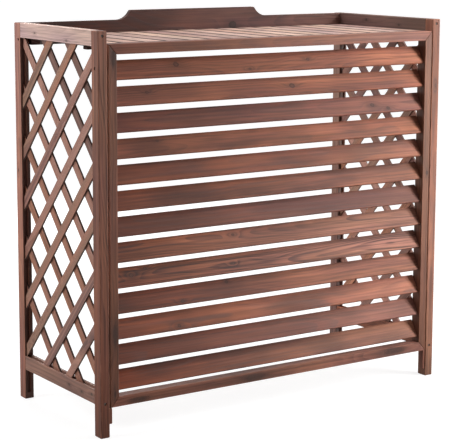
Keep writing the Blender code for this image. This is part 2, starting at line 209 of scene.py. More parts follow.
def new_group(name, inputs, outputs):
    tree = bpy.data.node_groups.new(name, "ShaderNodeTree")
    for label, kind in inputs:
        tree.interface.new_socket(name=label, in_out="INPUT", socket_type="NodeSocket" + kind)
    for label, kind in outputs:
        tree.interface.new_socket(name=label, in_out="OUTPUT", socket_type="NodeSocket" + kind)
    kit = Nodes(tree)
    return kit, kit.add("NodeGroupInput"), kit.add("NodeGroupOutput")


def new_material(name):
    made = bpy.data.materials.new(name)
    made.use_nodes = True
    made.node_tree.nodes.clear()
    return made, Nodes(made.node_tree)


def new_glossy_material(name):
    made, kit = new_material(name)
    shader = kit.add("ShaderNodeBsdfPrincipled")
    output = kit.add("ShaderNodeOutputMaterial")
    kit.put(output.inputs["Surface"], shader.outputs[0])
    return made, kit, shader


# Wood, in places along, across and through a board

KNOT_SLOTS = 4
NO_KNOT = (9.0, 9.0, 0.001)
ROUND_KNOTS = 0.78
SQUEEZE_RANGE = (0.35, 0.7)

# How often each noise changes in a metre, along, across and through the board
WANDER = (2.4, 7.0, 7.0)
STREAKS = (3.2, 210.0, 210.0)
FIBRES = (26.0, 1500.0, 1500.0)
RAGGED = (300.0, 300.0, 300.0)
RING_WAVES = (3.0, 40.0, 40.0)
PATCHES = (5.0, 16.0, 16.0)
STAINS = (3.4, 22.0, 22.0)
EDGE_WAVES = (30.0, 120.0, 120.0)

COOL_STAIN = (0.85, 0.79, 0.87)
WARM_STAIN = (1.11, 1.085, 1.01)
# Each channel's rise towards the lighter end: partly a fading stain, partly painted light and sheen
FADE_AND_LIGHT_TINT = (0.8, 1.3, 1.65)
EARLY_SHARE = 1.22
LATE_SHARES = (0.42, 0.34, 0.34)
RUBBED_SHARE = 1.7
RUBBED_WIDTH = (0.0022, 0.0004)
DARKENED_EDGE_WIDTH = (0.0064, 0.0012)


def add_knots(kit, given, u, v, streaks, ragged):
    """How far the rings swell round the knots, where the knots' wood is, and its dark rim."""
    squeeze = given["Squeeze"]
    frayed = kit.math("MULTIPLY", kit.math("SUBTRACT", streaks, 0.5),
                      kit.smooth(squeeze, *SQUEEZE_RANGE, 2.2, 0.0))
    outer_reach = kit.smooth(squeeze, *SQUEEZE_RANGE, 1.45, 1.05)
    inner_reach = kit.smooth(squeeze, *SQUEEZE_RANGE, 0.35, 0.85)
    swelling, core, rim = 0.0, 0.0, 0.0
    for index in range(KNOT_SLOTS):
        knot_along, knot_across, size = kit.split(given[f"Knot {index}"])
        along = kit.math("MULTIPLY", kit.math("SUBTRACT", u, knot_along), squeeze)
        across = kit.math("SUBTRACT", v, knot_across)
        long_way = kit.math("POWER", kit.math("MULTIPLY", along, 0.46), 2.0)
        wide_way = kit.math("POWER", across, 2.0)
        far = kit.math("DIVIDE", kit.math("ADD", long_way, wide_way),
                       kit.math("MULTIPLY", kit.math("POWER", size, 2.0), 3.4))
        swell = kit.math("EXPONENT", kit.math("MULTIPLY", far, -1.0))
        near = kit.math("DIVIDE", kit.length(along, across), size)
        near = kit.math("ADD", near, kit.math("MULTIPLY_ADD", ragged, 0.5, -0.25))
        near = kit.math("ADD", near, frayed)
        inside = kit.smooth(near, outer_reach, inner_reach)
        edge = kit.math("MULTIPLY", inside, kit.smooth(near, 0.35, 0.80))
        swelling = kit.math("ADD", swell, swelling)
        core = kit.math("MAXIMUM", inside, core)
        rim = kit.math("MAXIMUM", edge, rim)
    return swelling, core, rim


def add_rings(kit, given, place, swelling):
    """The dark late wood of each ring round the pith, from 0 to 1."""
    board, seed = given["Board"], given["Seed"]
    u, v, w = place
    wander = kit.noise(board, WANDER, seed, output="Color")
    _, drift_across, drift_through = kit.split(kit.vector("SUBTRACT", wander, (0.5, 0.5, 0.5)))
    across = kit.math("MULTIPLY_ADD", drift_across, 0.030, v)
    through = kit.math("MULTIPLY_ADD", drift_through, 0.034, w)
    pith_across, pith_through, pith_lean = kit.split(given["Pith"])
    pith_through = kit.math("MULTIPLY_ADD", pith_lean, u, pith_through)
    radius = kit.length(kit.math("SUBTRACT", across, pith_across),
                        kit.math("SUBTRACT", through, pith_through))
    count = kit.math("DIVIDE", radius, given["Ring"])
    count = kit.math("MULTIPLY_ADD", kit.noise(board, RING_WAVES, seed, 1.0), 1.3, count)
    count = kit.math("MULTIPLY_ADD", swelling, 1.7, count)
    year = kit.math("FRACT", count)
    each = kit.add("ShaderNodeTexWhiteNoise", noise_dimensions="1D")
    kit.put(each.inputs["W"], kit.math("ADD", kit.math("FLOOR", count), seed))
    late = kit.math("MULTIPLY", kit.smooth(year, 0.20, 0.90), kit.smooth(year, 1.0, 0.93))
    return kit.math("MULTIPLY", late, kit.math("MULTIPLY_ADD", each.outputs["Value"], 0.6, 0.4))


def stained(kit, given, u, late, streaks, fibres, swelling):
    """The colour of the clear wood: rings, patches of stain, a lighter and paler end that is partly
    a fading stain and partly painted light and sheen, streaks and fibres.
    """
    board, seed, grain = given["Board"], given["Seed"], given["Grain"]
    streak = kit.smooth(streaks, 0.30, 0.70)
    depth = kit.math("MULTIPLY", late, kit.math("MULTIPLY_ADD", streak, 0.55, 0.35))
    colour = kit.mix(kit.math("MULTIPLY", depth, grain), given["Early"], given["Late"])

    patches = kit.noise(board, PATCHES, kit.math("ADD", seed, 5.0))
    patch = kit.smooth(patches, 0.28, 0.72, -0.22, 0.22)
    patch = kit.math("MULTIPLY", patch, given["Patchy"])
    colour = kit.scaled(colour, kit.math("ADD", patch, 0.99))
    stains = kit.noise(board, STAINS, kit.math("ADD", seed, 9.0), 3.0)
    colour = kit.product(colour, kit.mix(kit.smooth(stains, 0.34, 0.66), COOL_STAIN, WARM_STAIN))
    # Lighter and paler towards one end of the board: partly a fading stain, partly painted light
    # and sheen from the lamp at the right
    fade_and_light_tint = kit.vector("SCALE", FADE_AND_LIGHT_TINT, scale=kit.math("MULTIPLY", u, given["Fade"]))
    colour = kit.product(colour, kit.vector("ADD", fade_and_light_tint, WHITE))

    sharp = kit.math("MULTIPLY_ADD", grain, 0.20, 0.12)
    line = kit.math("MULTIPLY", kit.smooth(streaks, 0.28, 0.72, 1.0, -1.0), sharp)
    colour = kit.scaled(colour, kit.math("ADD", line, 0.98))
    colour = kit.scaled(colour, kit.smooth(fibres, 0.25, 0.75, 0.86, 1.12))
    return kit.scaled(colour, kit.smooth(swelling, 0.0, 1.2, 1.0, 0.62))


def with_knots(kit, given, colour, core, rim, ragged):
    """Lays the knots' own wood over a colour."""
    heart_share = kit.smooth(given["Squeeze"], *SQUEEZE_RANGE, 0.18, 0.36)
    heart = kit.scaled(given["Early"], heart_share)
    dark_wood = kit.scaled(given["Late"], 0.3)
    knot_wood = kit.mix(kit.math("MULTIPLY", rim, 0.9), heart, dark_wood)
    knot_wood = kit.scaled(knot_wood, kit.smooth(ragged, 0.3, 0.7, 0.75, 1.1))
    return kit.mix(kit.math("MULTIPLY", core, 0.88), colour, knot_wood)


def with_edges(kit, given, colour, place):
    """Rubs a board's edges pale where its wear is above 0, and darkens them where it is below."""
    room = [
        kit.math("SUBTRACT", half, kit.math("ABSOLUTE", part))
        for half, part in zip(kit.split(given["Half"]), place)
    ]
    # The middle one of the three distances to the faces is the distance to the nearest edge
    low_pair = kit.math("MINIMUM", room[0], room[1])
    high_pair = kit.math("MAXIMUM", room[0], room[1])
    to_edge = kit.math("MAXIMUM", low_pair, kit.math("MINIMUM", high_pair, room[2]))
    uneven = kit.noise(given["Board"], EDGE_WAVES, given["Seed"])
    rubbed = kit.math("MULTIPLY", kit.smooth(to_edge, *RUBBED_WIDTH), kit.smooth(uneven, 0.3, 0.7))
    rubbed = kit.math("MULTIPLY", rubbed, given["Wear"])
    # Edges darker where the wear is below 0
    darkened_edge = kit.math("MULTIPLY", kit.smooth(to_edge, *DARKENED_EDGE_WIDTH),
                     kit.math("MULTIPLY", given["Wear"], -1.0, clamp=True))
    darkened_edge = kit.math("MULTIPLY", darkened_edge, kit.smooth(uneven, 0.3, 0.6, 0.55, 0.95))
    colour = kit.scaled(colour, kit.math("SUBTRACT", 1.0, darkened_edge))
    return kit.mix(rubbed, colour, kit.scaled(given["Early"], RUBBED_SHARE))


def make_wood_group():
    """Softwood sawn from a round trunk: rings about a pith that runs along the board."""
    inputs = [
        ("Board", "Vector"), ("Seed", "Float"), ("Pith", "Vector"), ("Ring", "Float"),
        ("Early", "Color"), ("Late", "Color"), ("Half", "Vector"), ("End", "Float"),
        ("Wear", "Float"), ("Grain", "Float"), ("Fade", "Float"), ("Squeeze", "Float"),
        ("Patchy", "Float"),
    ]
    inputs += [(f"Knot {index}", "Vector") for index in range(KNOT_SLOTS)]
    outputs = [("Color", "Color"), ("Roughness", "Float"), ("Height", "Float")]
    kit, source, sink = new_group("stained wood", inputs, outputs)
    given = source.outputs
    board, seed = given["Board"], given["Seed"]
    place = kit.split(board)
    u, v, _ = place
    streaks = kit.noise(board, STREAKS, seed, 3.0, 0.6)
    fibres = kit.noise(board, FIBRES, seed, 2.0, 0.6)
    ragged = kit.noise(board, RAGGED, seed)
    swelling, core, rim = add_knots(kit, given, u, v, streaks, ragged)
    late = add_rings(kit, given, place, swelling)

    colour = stained(kit, given, u, late, streaks, fibres, swelling)
    colour = with_knots(kit, given, colour, core, rim, ragged)
    colour = with_edges(kit, given, colour, place)
    # End grain comes out darker; values above 1 darken side faces further, which on the shelf slats
    # is painted shade of the gaps between them
    colour = kit.scaled(colour, kit.smooth(given["End"], 0.6, 0.95, 1.0, 0.55))
    colour = kit.scaled(colour, kit.smooth(given["End"], 1.0, 2.0, 1.0, 0.25))

    roughness = kit.math("MULTIPLY_ADD", late, -0.10, 0.56)
    roughness = kit.math("MULTIPLY_ADD", fibres, 0.16, roughness)
    height = kit.math("MULTIPLY", late, 0.55)
    height = kit.math("MULTIPLY_ADD", fibres, 0.45, height)
    height = kit.math("MULTIPLY_ADD", streaks, 0.6, height)
    height = kit.math("MULTIPLY_ADD", rim, -0.5, height)
    kit.put(sink.inputs["Color"], colour)
    kit.put(sink.inputs["Roughness"], roughness)
    kit.put(sink.inputs["Height"], height)
    return kit.tree


wood_group = make_wood_group()

# Stain tones in ordinary picture values
TONES = {
    "brown": (124, 75, 55),
    "umber": (122, 79, 62),
    "plum": (112, 68, 55),
    "amber": (156, 104, 80),
    "rosy": (152, 106, 90),
    "dusty": (144, 108, 94),
    "pale": (192, 163, 148),
    "wheat": (188, 157, 142),
    "bisque": (178, 145, 131),
    "ash": (185, 159, 152),
    "slate": (99, 74, 66),
    "deep": (84, 56, 49),
    "cocoa": (84, 53, 45),
}


def ring_colours(tone, light=1.0):
    """The pale early wood and the dark late wood of a stained board."""
    base = times(srgb(*TONES[tone]), light)
    return times(base, EARLY_SHARE), tuple(c * share for c, share in zip(base, LATE_SHARES))


def fill_wood(kit, shader, values, knots=(), foot_and_face=None):
    """Links the wood to a shader. The values go by the names of the wood group's inputs."""
    group = kit.add("ShaderNodeGroup")
    group.node_tree = wood_group
    for name, value in values.items():
        kit.put(group.inputs[name], value)
    for index, knot in enumerate([*knots] + [NO_KNOT] * (KNOT_SLOTS - len(knots))):
        kit.put(group.inputs[f"Knot {index}"], knot)
    colour = group.outputs["Color"]
    if foot_and_face is not None:
        colour = kit.product(colour, foot_and_face)
    kit.put(shader.inputs["Base Color"], colour)
    kit.put(shader.inputs["Roughness"], group.outputs["Roughness"])
    kit.put(shader.inputs["Normal"], kit.bump(group.outputs["Height"], 0.45, 0.0006))
    kit.put(shader.inputs["Specular IOR Level"], 0.28)


FOOT_HEIGHT = 0.11
# How far the slats' narrow faces are darkened, as painted shade of the gaps between them
SIDE_PAINTED_SHADE = 2.2


def foot_and_face_factor(kit, place, normal, foot, painted_face_shading):
    """The colour that a board's is multiplied by: darker next to the ground, and on the faces that
    look one way a given colour, which paints shade where it is dark and light where it is pale.
    """
    foot_and_face = None
    if foot:
        level = kit.vector("DOT_PRODUCT", place, (0.0, 0.0, 1.0))
        foot_and_face = kit.smooth(level, 0.0, FOOT_HEIGHT, 1.0 - foot, 1.0)
    if painted_face_shading:
        direction, share = painted_face_shading
        turned = kit.smooth(kit.vector("DOT_PRODUCT", normal, direction), 0.6, 0.95)
        turned = kit.mix(turned, WHITE, share)
        foot_and_face = turned if foot_and_face is None else kit.product(foot_and_face, turned)
    return foot_and_face


def stain_board(
    name, tone, grain, across, knots=(), wear=0.35, light=1.0, contrast=0.6, fade_and_light=0.0, painted_side_shade=False,
    squeeze=ROUND_KNOTS, patchy=1.0, foot=0.0, painted_face_shading=None
):
    """Gives one CAD board its own wood. Knots are (along, across, radius) from its middle.

    Across is an axis, or a louver's own direction up its slope. The side option darkens the narrow
    faces as painted shade of the gaps between slats, a lower squeeze draws the knots out along the
    board, foot darkens the wood next to the ground, and the face option is a direction and the
    colour that the face looking that way is multiplied by, painting shade on it where the colour
    is dark and light where it is pale. The fade makes one end lighter and paler, partly as a fading
    stain and partly as painted light and sheen from the lamp at the right.
    """
    dice = random.Random(name)
    low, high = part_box(name)
    middle = (low + high) / 2
    along = AXES[grain]
    if isinstance(across, str):
        side = AXES[across]
        through = along.cross(side)
        half = [abs((high - low).dot(axis)) / 2 for axis in (along, side, through)]
    else:
        side = across
        through = along.cross(side)
        half = [(high - low).x / 2, LOUVER_HALF_WIDTH, LOUVER_HALF_THICKNESS]
    made, kit, shader = new_glossy_material(name + "_wood")
    place = kit.add("ShaderNodeTexCoord").outputs["Object"]
    offset = kit.vector("SUBTRACT", place, tuple(middle))
    board = kit.add("ShaderNodeCombineXYZ")
    for socket, axis in zip(board.inputs, (along, side, through)):
        kit.put(socket, kit.vector("DOT_PRODUCT", offset, tuple(axis)))
    normal = kit.add("ShaderNodeNewGeometry").outputs["Normal"]
    facing = kit.vector("DOT_PRODUCT", normal, tuple(through if painted_side_shade else along))
    end = kit.math("ABSOLUTE", facing)
    if painted_side_shade:
        end = kit.math("MULTIPLY", kit.math("SUBTRACT", 1.0, end), SIDE_PAINTED_SHADE)
    early, late = ring_colours(tone, light)
    pith = (dice.uniform(-0.03, 0.03), dice.uniform(0.02, 0.07) * dice.choice((-1, 1)),
            dice.uniform(-0.03, 0.03))
    spacing = dice.uniform(0.0028, 0.0048)
    values = {
        "Board": board.outputs[0], "Seed": dice.uniform(0, 500), "Pith": pith,
        "Ring": spacing / max(1.0, contrast), "Early": early, "Late": late, "Half": tuple(half),
        "End": end, "Wear": wear, "Grain": contrast, "Fade": fade_and_light, "Squeeze": squeeze,
        "Patchy": patchy,
    }
    fill_wood(kit, shader, values, knots, foot_and_face_factor(kit, place, normal, foot, painted_face_shading))
    materials = nodes[name].data.materials
    materials.clear()
    materials.append(made)


# Louvers, from the top: tone, light, contrast, patches, fade (a lighter, paler end, partly painted
# light from the lamp at the right), and knots along and across the board

LOUVERS = (
    ("brown", 1.16, 0.8, 1.0, 0.15,
     ((-0.264, 0.005, 0.0060), (0.086, 0.001, 0.0040), (-0.078, -0.015, 0.0030))),
    ("brown", 1.00, 0.8, 1.2, -0.1, ((-0.337, 0.004, 0.0036), (0.042, -0.001, 0.0062))),
    ("plum", 0.95, 0.9, 1.2, 0.6, ((0.274, -0.003, 0.0050), (0.318, -0.013, 0.0040))),
    ("brown", 0.96, 0.8, 2.2, 0.08, ((-0.31, 0.010, 0.0028),)),
    ("brown", 0.80, 0.6, 1.8, 0.65, ()),
    ("brown", 0.88, 0.7, 2.1, 0.8, ()),
    ("plum", 0.83, 0.5, 1.0, 0.8, ()),
    ("umber", 1.19, 1.3, 1.2, 0.85, ((-0.114, 0.008, 0.0034),)),
    ("umber", 1.10, 2.2, 0.8, 0.85,
     ((-0.379, 0.002, 0.0050), (-0.341, 0.014, 0.0034), (-0.116, -0.002, 0.0030))),
    ("brown", 0.80, 1.1, 2.0, 0.95, ((-0.129, 0.014, 0.0040), (-0.254, -0.016, 0.0040))),
    ("brown", 1.04, 0.7, 2.0, 0.8, ((-0.262, -0.014, 0.0040),)),
    ("plum", 0.86, 0.7, 1.2, 1.15, ()),
    ("brown", 0.87, 0.4, 2.0, 1.4, ()),
)
up_slope = Vector((0, math.cos(LOUVER_TILT), math.sin(LOUVER_TILT)))
for index, (tone, light, contrast, patchy, fade_and_light, knots) in enumerate(LOUVERS):
    stain_board(
        f"louver_{index + 1:02d}", tone, "X", up_slope, knots, 0.5, light, contrast, fade_and_light,
        patchy=patchy)

# Posts and the panel's frame

# A face's direction, and the colour that it is multiplied by, painting shade where dark and light
# where pale
# Painted shade on the rear posts' faces towards the front, which lie in shade behind the panel
IN_SHADE = ((0.0, -1.0, 0.0), (0.28, 0.28, 0.28))
# Painted light on the left stile's face beside its gap, far paler than its wood, so the gap shows
# no dark shadow line
GAP_FACE_PAINTED_LIGHT = ((-1.0, 0.0, 0.0), (3.4, 5.2, 6.5))

stain_board("front_left_post", "umber", "Z", "X", (), 1.5, 0.90, 1.3, 0.75, foot=0.3)
stain_board(
    "front_right_post", "amber", "Z", "X", ((0.2775, 0.0005, 0.0028),), 1.5, 0.66, 0.9, -0.25,
    foot=0.5)
stain_board(
    "rear_left_post", "rosy", "Z", "Y", ((0.1, 0.004, 0.003),), 0.7, 1.08, 0.7, 0.45, patchy=0.6,
    foot=0.3, painted_face_shading=IN_SHADE)
stain_board(
    "rear_right_post", "dusty", "Z", "Y", ((-0.2, 0.0, 0.003),), 0.5, 0.82, foot=0.3,
    painted_face_shading=IN_SHADE)
stain_board(
    "panel_left_stile", "umber", "Z", "X",
    ((-0.230, 0.003, 0.0100), (-0.36, 0.0, 0.003), (0.362, 0.003, 0.0075)), 0.5, 0.88, 0.9, 0.35,
    squeeze=0.36, painted_face_shading=GAP_FACE_PAINTED_LIGHT)
stain_board("panel_right_stile", "amber", "Z", "X", ((0.05, 0.003, 0.004),), 1.2, 0.39, 0.8, 0.6)
stain_board("panel_top_rail", "umber", "X", "Z", (), 0.7, 0.83, 0.6, 0.42)
stain_board(
    "panel_bottom_rail", "umber", "X", "Z",
    ((-0.37, -0.003, 0.0062), (-0.068, -0.001, 0.0078), (0.342, 0.001, 0.0085)), 0.6, 0.97, 0.9,
    0.15, squeeze=0.22)

# Side rails

stain_board(
    "left_top_rail", "ash", "Y", "Z", ((0.092, -0.003, 0.0022), (-0.055, -0.011, 0.0025)), 0.5,
    1.10, 0.5, patchy=0.15)
stain_board(
    "left_bottom_rail", "dusty", "Y", "Z",
    ((-0.049, 0.0, 0.0030), (-0.107, -0.002, 0.0028), (-0.151, 0.003, 0.0030)), 0.5, 0.82, 0.6)
stain_board(
    "right_top_rail", "slate", "Y", "Z", ((-0.066, -0.003, 0.0024), (0.06, 0.004, 0.003)), 0.5,
    0.95, 0.35)
stain_board("right_bottom_rail", "brown", "Y", "Z", (), 0.4)

# Shelf, whose slats take their tones in turn and their knots and light by chance

SLAT_TONES = ("pale", "bisque", "pale", "wheat", "pale", "bisque", "wheat")
for index in range(SLAT_COUNT):
    name = f"shelf_slat_{index + 1:02d}"
    dice = random.Random("knots of " + name)
    knots = [
        (dice.uniform(-0.14, 0.14), dice.uniform(-0.018, 0.018), dice.uniform(0.0026, 0.0048))
        for _ in range(dice.choice((0, 1, 1, 2)))
    ]
    tone, light = SLAT_TONES[index % len(SLAT_TONES)], dice.uniform(0.82, 0.99)
    # The narrow faces get painted shade, for the gaps between the slats
    stain_board(name, tone, "Y", "X", knots, -1.0, light, 0.7, painted_side_shade=True)
stain_board(
    "back_board", "cocoa", "X", "Z", ((0.111, -0.007, 0.0092),), 0.5, 0.90, 0.9, 1.7, patchy=1.9)
for name in ("front_shelf_batten", "rear_shelf_batten", "front_shelf_ledger", "rear_shelf_ledger"):
    stain_board(name, "deep", "X", "Y", (), 0.2, 0.7)
for name in ("left_panel_cleat", "right_panel_cleat"):
    stain_board(name, "brown", "Z", "X", (), 0.3, 0.8)


# Lattices rebuilt strip by strip

STRIPS_EACH_WAY = 14
STRIP_EDGE = 0.0009
STRIP_PITH = (0.01, 0.04, 0.02)
STRIP_RING = 0.0036
STRIP_DARKNESS = 1.6
PARALLEL = 0.999
STRIP_SHADES = (
    (0.90, 0.92, 0.90), (1.06, 0.92, 0.84), (0.66, 0.66, 0.72), (1.12, 0.94, 0.76),
    (0.78, 0.78, 0.80), (1.20, 1.22, 1.26), (0.84, 0.88, 0.82), (0.96, 0.90, 0.92),
)
# Tone of each layer's strips; the inner layer is darker, as painted shade of its recess
LAYER_TONE_AND_PAINTED_SHADE = (0.90, 0.84)
# Painted light: the right lattice's strips brighter, for the light bounced inside the screen onto
# them
RIGHT_PAINTED_LIGHT = 1.5


def soften(shape, edges, offset):
    bmesh.ops.bevel(shape, geom=edges, offset=offset, segments=2, profile=0.5, affect="EDGES")


def lattice_opening():
    """The corners of the opening beside a lattice, and the first crossing of its strips."""
    low = Vector((-HALF_DEPTH + POST_DEPTH, LOWER_RAIL_TOP))
    high = Vector((HALF_DEPTH - POST_DEPTH, POST_HEIGHT - SIDE_RAIL_HEIGHT))
    return low, high, low + Vector((FIRST_ACROSS, FIRST_UP))


def clipped(outline, axis, limit, keep_above):
    """The part of an outline on one side of a line that crosses the given axis."""
    kept = []
    for here, there in zip(outline, outline[1:] + outline[:1]):
        inside_here = (here[axis] >= limit) == keep_above
        inside_there = (there[axis] >= limit) == keep_above
        if inside_here:
            kept.append(here)
        if inside_here != inside_there:
            share = (limit - here[axis]) / (there[axis] - here[axis])
            kept.append(here.lerp(there, share))
    return kept


def strips_between(low, high, crossing, rising):
    """The slanted strips of one layer, each as its outline, its middle and its direction."""
    slant = math.atan2(PITCH_UP, PITCH_ACROSS)
    along = Vector((math.cos(slant), math.sin(slant) if rising else -math.sin(slant)))
    side = Vector((-along.y, along.x)) * STRIP_WIDTH / 2
    reach = along * ((high - low).y / math.sin(slant) + STRIP_WIDTH)
    found = []
    for step in range(-STRIPS_EACH_WAY, STRIPS_EACH_WAY + 1):
        middle = crossing + Vector((step * PITCH_ACROSS, 0))
        outline = [middle - reach - side, middle + reach - side, middle + reach + side,
                   middle - reach + side]
        for axis, limit, keep_above in (
            (0, low.x, True), (0, high.x, False), (1, low.y, True), (1, high.y, False),
        ):
            outline = clipped(outline, axis, limit, keep_above)
        if len(outline) > 2:
            reaches = [point.dot(along) for point in outline]
            if max(reaches) - min(reaches) > STRIP_SHORTEST + STRIP_WIDTH:
                found.append((outline, middle, along))
    return found


def lattice_material(name, tone):
    """Wood that reads its board coordinates, seed and shade from the strips' own attributes."""
    made, kit, shader = new_glossy_material(name)
    board = kit.add("ShaderNodeAttribute", attribute_name="board").outputs["Vector"]
    seed = kit.add("ShaderNodeAttribute", attribute_name="seed").outputs["Fac"]
    shade = kit.add("ShaderNodeAttribute", attribute_name="shade").outputs["Color"]
    early, late = [kit.product(shade, colour) for colour in ring_colours(tone)]
    normal = kit.add("ShaderNodeNewGeometry").outputs["Normal"]
    facing = kit.math("ABSOLUTE", kit.vector("DOT_PRODUCT", normal, (1.0, 0.0, 0.0)))
    edge = kit.math("MULTIPLY", kit.math("SUBTRACT", 1.0, facing), STRIP_DARKNESS)
    values = {
        "Board": board, "Seed": seed, "Pith": STRIP_PITH, "Ring": STRIP_RING, "Early": early,
        "Late": late, "Half": (4.0, STRIP_WIDTH / 2, STRIP_THICKNESS / 2), "End": edge,
        "Wear": 0.8, "Grain": 0.8, "Fade": 0.0, "Squeeze": ROUND_KNOTS, "Patchy": 1.0,
    }
    fill_wood(kit, shader, values)
    return made


def add_strip(shape, near, outline, along):
    """Adds one strip to a mesh that is being built, and softens the last of its long edges."""
    first_edge = len(shape.edges)
    base = shape.faces.new([shape.verts.new((near, p.x, p.y)) for p in outline])
    grown = bmesh.ops.extrude_face_region(shape, geom=[base])
    moved = [v for v in grown["geom"] if isinstance(v, bmesh.types.BMVert)]
    bmesh.ops.translate(shape, vec=(STRIP_THICKNESS, 0, 0), verts=moved)
    shape.edges.ensure_lookup_table()
    long_edges = [
        e for e in shape.edges[first_edge:]
        if abs((e.verts[1].co - e.verts[0].co).normalized().dot(along)) > PARALLEL
    ]
    soften(shape, long_edges, STRIP_EDGE)


def lattice_piece(name, sign, shape, material):
    """A finished piece of the left lattice, or of the right one, which is the left turned round."""
    bmesh.ops.recalc_face_normals(shape, faces=shape.faces)
    piece = new_object(name, mesh_from(name, shape))
    piece.data.materials.append(material)
    if sign > 0:
        piece.matrix_world = Matrix.Rotation(math.pi, 4, "Z")
    return piece


def build_layer(name, sign, layer, rising, material):
    """One layer of a lattice as a single piece of separate strips.

    Known fault: a bevel frees places in the mesh, which the next strip fills. So the slices from
    start and from first_edge also hold parts of the strips before, and a value's place in the
    lists isn't its corner's place in the finished mesh. Four of the eight strips keep sharp edges.
    Of a layer's 126 corners 4 carry coordinates that fit their place, and 44 their own seed.
    """
    low, high, crossing = lattice_opening()
    inset = Vector((1, 1)) * (GROOVE_DEPTH - SEAT_GAP)
    dice = random.Random(name)
    shape = bmesh.new()
    boards, seeds, shades = [], [], []
    depth = GROOVE_SETBACK + SEAT_GAP + layer * (STRIP_THICKNESS - STRIP_BOND)
    near = -HALF_WIDTH + depth
    for outline, middle, slope in strips_between(low - inset, high + inset, crossing, rising):
        start = len(shape.verts)
        along, side = Vector((0, slope.x, slope.y)), Vector((0, -slope.y, slope.x))
        add_strip(shape, near, outline, along)
        shape.verts.ensure_lookup_table()
        origin = Vector((near + STRIP_THICKNESS / 2, middle.x, middle.y))
        # Each strip's tone, times its layer's tone and painted shade
        seed, shade = dice.uniform(0, 500), times(dice.choice(STRIP_SHADES), LAYER_TONE_AND_PAINTED_SHADE[rising])
        # Painted light on the right lattice's strips
        shade = times(shade, RIGHT_PAINTED_LIGHT if sign > 0 else 1.0)
        for vert in shape.verts[start:]:
            away = vert.co - origin
            boards.append((away.dot(along), away.dot(side), away.x))
            seeds.append(seed)
            shades.append((*shade, 1.0))
    piece = lattice_piece(name, sign, shape, material)
    attributes = piece.data.attributes
    attributes.new("board", "FLOAT_VECTOR", "POINT").data.foreach_set(
        "vector", [c for b in boards for c in b])
    attributes.new("seed", "FLOAT", "POINT").data.foreach_set("value", seeds)
    attributes.new("shade", "FLOAT_COLOR", "POINT").data.foreach_set(
        "color", [c for s in shades for c in s])
    return piece


strip_wood = lattice_material("strip_wood", "dusty")
for side_name, sign in SIDES:
    for layer, rising in enumerate((False, True)):
        layer_name = f"{side_name}_lattice_{'outer' if layer == 0 else 'inner'}_strips"
        piece = build_layer(layer_name, sign, layer, rising, strip_wood)
        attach(piece, "root")
        if layer == 0:
            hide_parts(f"{side_name}_lattice")


# Staples, one through each crossing, with the crown on the inner face

STAPLE_CROWN = (0.0006, 0.0070, 0.0010)
STAPLE_EDGE = 0.00022
STAPLE_SINK = 0.00025
STAPLE_LEAN = 0.5
STAPLE_STRAY = 0.002


def box_into(shape, size, matrix, bevel):
    """Adds one box with softened edges to a mesh that is being built."""
    made = bmesh.ops.create_cube(shape, size=1.0, matrix=matrix @ Matrix.Diagonal((*size, 1.0)))
    edges = {e for v in made["verts"] for e in v.link_edges}
    soften(shape, sorted(edges, key=lambda e: e.index), bevel)


def steel_material(name, colour, roughness):
    """Dull plated steel with smears and fine scratches."""
    made, kit, shader = new_glossy_material(name)
    place = kit.add("ShaderNodeTexCoord").outputs["Object"]
    smears = kit.noise(place, (900.0, 900.0, 900.0), 3.0, 3.0)
    scratches = kit.noise(place, (4000.0, 4000.0, 700.0), 8.0)
    tone = kit.mix(kit.smooth(smears, 0.35, 0.65), times(colour, 0.6), colour)
    kit.put(shader.inputs["Base Color"], tone)
    kit.put(shader.inputs["Metallic"], 1.0)
    kit.put(shader.inputs["Roughness"], kit.smooth(smears, 0.3, 0.7, roughness, roughness + 0.25))
    kit.put(shader.inputs["Normal"], kit.bump(scratches, 0.3, 0.0001))
    return made


def build_staples(name, sign, material):
    """The staples of one lattice as a single piece, each a little turned and off its crossing."""
    low, high, crossing = lattice_opening()
    falling = strips_between(low, high, crossing, False)
    rising = strips_between(low, high, crossing, True)
    inner_face = -HALF_WIDTH + GROOVE_SETBACK + SEAT_GAP + 2 * STRIP_THICKNESS - STRIP_BOND
    dice = random.Random(name)
    shape = bmesh.new()
    for _, down_middle, _ in falling:
        for _, up_middle, along in rising:
            half_way = (up_middle.x - down_middle.x) / 2
            y = (up_middle.x + down_middle.x) / 2
            z = crossing.y - half_way * PITCH_UP / PITCH_ACROSS
            inside = (low.x + STRIP_WIDTH / 2 < y < high.x - STRIP_WIDTH / 2
                      and low.y + STRIP_WIDTH / 2 < z < high.y - STRIP_WIDTH / 2)
            if not inside:
                continue
            lean = math.atan2(along.y, along.x) + dice.uniform(-STAPLE_LEAN, STAPLE_LEAN)
            x = inner_face + STAPLE_CROWN[0] / 2 - STAPLE_SINK
            y += dice.uniform(-STAPLE_STRAY, STAPLE_STRAY)
            z += dice.uniform(-STAPLE_STRAY, STAPLE_STRAY)
            place = Matrix.Translation((x, y, z)) @ Matrix.Rotation(lean, 4, "X")
            box_into(shape, STAPLE_CROWN, place, STAPLE_EDGE)
    return lattice_piece(name, sign, shape, material)


plated = steel_material("plated_steel", (0.30, 0.28, 0.26), 0.38)
for side_name, sign in SIDES:
    piece = build_staples(f"{side_name}_lattice_staples", sign, plated)
    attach(piece, "root")


# Screws

THREAD_PITCH = 0.00125
THREAD_CREST = 0.00175
THREAD_ROOT = 0.00120
SCREW_POINT = 0.0045
POINT_SHARE = 0.02
TURN_SIDES = 16
HEAD_RIM = (0.0003, 0.0006)
HEAD_FLAT_SHARE = 0.9
HEAD_NECK_SHARE = 1.1
RECESS_MOUTH = (0.0036, 0.0008)
RECESS_FLOOR = (0.0016, 0.0005)
RECESS_DEPTH = 0.0014
RECESS_OVERRUN = 0.0002
SAME_POINT = 0.000005
SHARP_ANGLE = math.radians(35)


